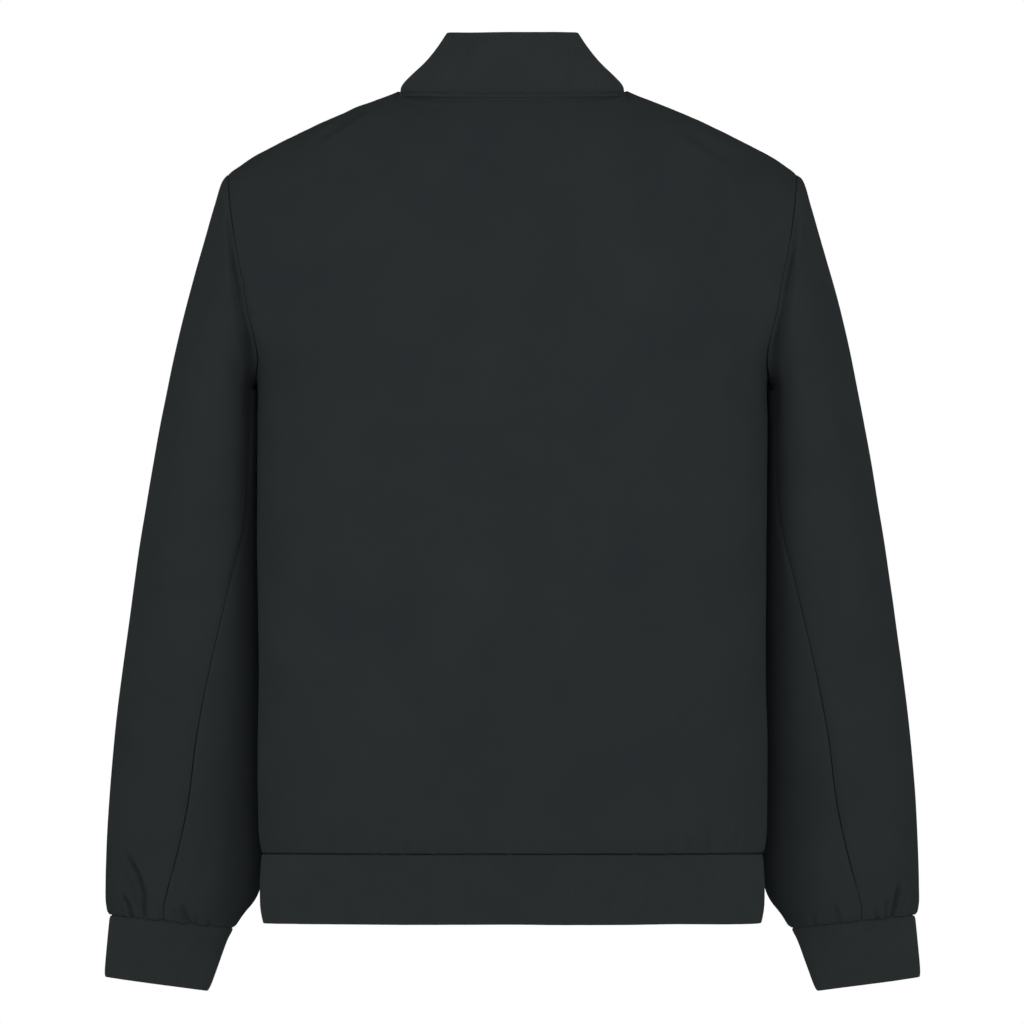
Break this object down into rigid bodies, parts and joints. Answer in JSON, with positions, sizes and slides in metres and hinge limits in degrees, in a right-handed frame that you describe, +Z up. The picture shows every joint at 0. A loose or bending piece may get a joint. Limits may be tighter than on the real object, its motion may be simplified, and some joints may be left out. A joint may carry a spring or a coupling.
{
  "type": "bomber jacket",
  "caption": "Zipped bomber jacket filled out with no wearer: woven shell with rib-knit stand collar, cuffs and hem band, open at the neck, hem and cuffs.",
  "frame": {"origin": "middle of the neck opening, at the height of the shoulders' neck points, where the neck holds the jacket up", "axes": "+Z up, the front with its zip faces -Y, the wearer's left is +X"},
  "size_m": [0.6756, 0.2765, 0.7927],
  "materials": {
    "shell": "smooth plain-woven synthetic, satin sheen",
    "rib": "rib knit, matte",
    "zip_tape": "woven zip tape, matte",
    "zip_metal": "dark nickel plate, satin"
  },
  "bodies": {
    "jacket": {"back": "shell", "front_left": "shell", "front_right": "shell", "sleeve_left_top": "shell", "sleeve_left_under": "shell", "sleeve_right_top": "shell", "sleeve_right_under": "shell", "cuff_left": "rib", "cuff_right": "rib", "collar": "rib", "hem_band": "rib", "zip_tape_left": "zip_tape", "zip_tape_right": "zip_tape", "zip_slider": "zip_metal", "zip_box": "zip_metal"},
    "pull": {"zip_pull": "zip_metal"}
  },
  "joints": [
    {"name": "pull_tab", "type": "hinge", "parent": "jacket", "child": "pull", "pos_m": [0, -0.10987, -0.11093], "axis": [-1, 0, 0], "range_deg": [0, 160]}
  ]
}
